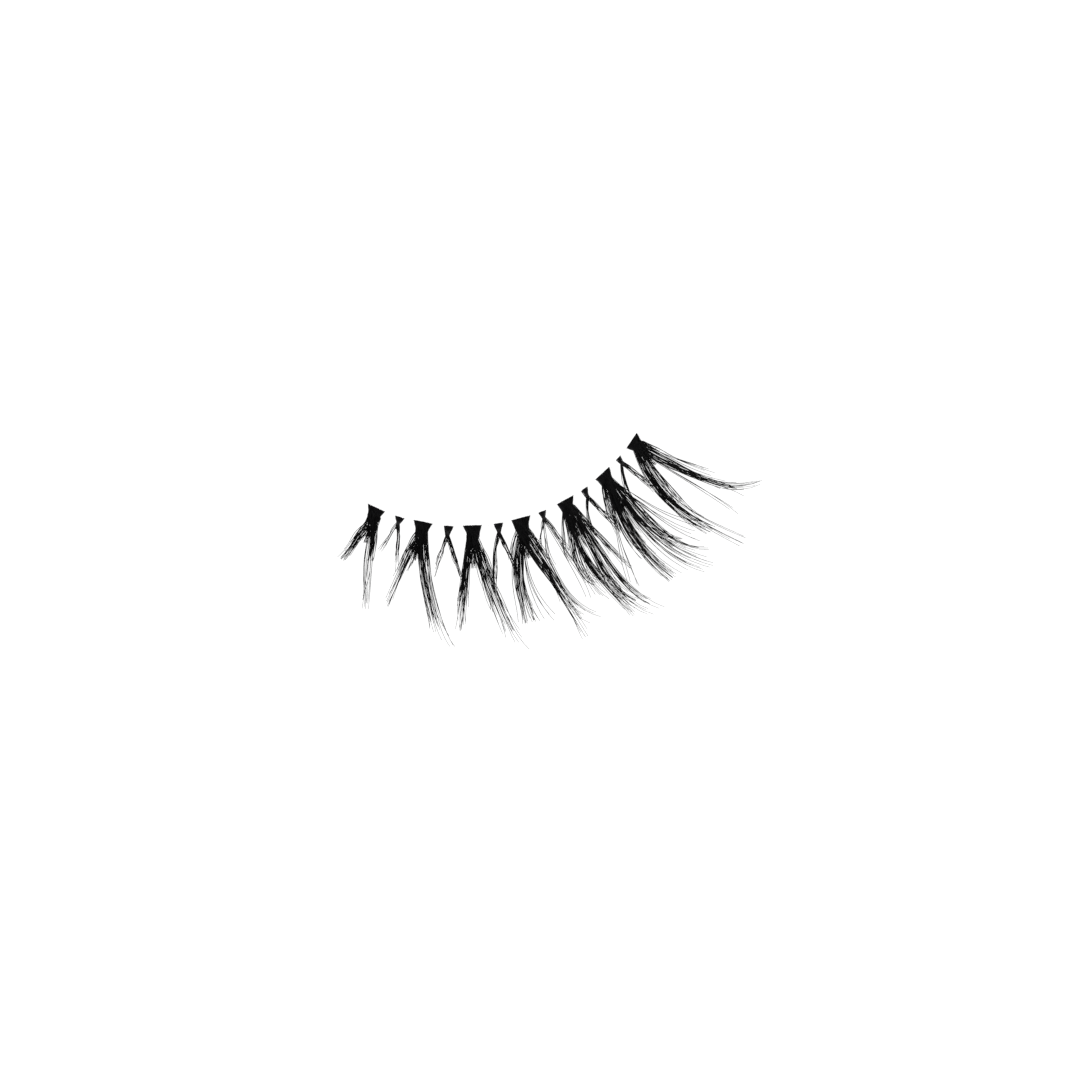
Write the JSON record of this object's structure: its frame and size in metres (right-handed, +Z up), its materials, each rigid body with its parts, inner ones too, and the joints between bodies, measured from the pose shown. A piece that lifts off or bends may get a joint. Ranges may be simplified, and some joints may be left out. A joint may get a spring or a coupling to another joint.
{
  "type": "false eyelash strip",
  "caption": "Left-eye strip of false eyelashes: a clear curved band with crossed clusters of black tapered fibre that fan out and curl up.",
  "frame": {"origin": "the middle of the band's flat underside, which glues to the eyelid and here lies on the surface", "axes": "+X along the strip's chord to its outer corner, -Y the way the lashes point, +Z up, the way the tips curl"},
  "size_m": [0.0424, 0.0198, 0.0039],
  "materials": {
    "clear_band": "clear flexible nylon, glossy",
    "main_fibre": "black tapered synthetic fibre, satin",
    "filler_fibre": "black tapered synthetic fibre, satin"
  },
  "bodies": {
    "root": {"band": "clear_band", "main_cluster_1": "main_fibre", "main_cluster_2": "main_fibre", "main_cluster_3": "main_fibre", "main_cluster_4": "main_fibre", "main_cluster_5": "main_fibre", "main_cluster_6": "main_fibre", "main_cluster_7": "main_fibre", "filler_cluster_1": "filler_fibre", "filler_cluster_2": "filler_fibre", "filler_cluster_3": "filler_fibre", "filler_cluster_4": "filler_fibre", "filler_cluster_5": "filler_fibre", "filler_cluster_6": "filler_fibre"}
  },
  "joints": []
}
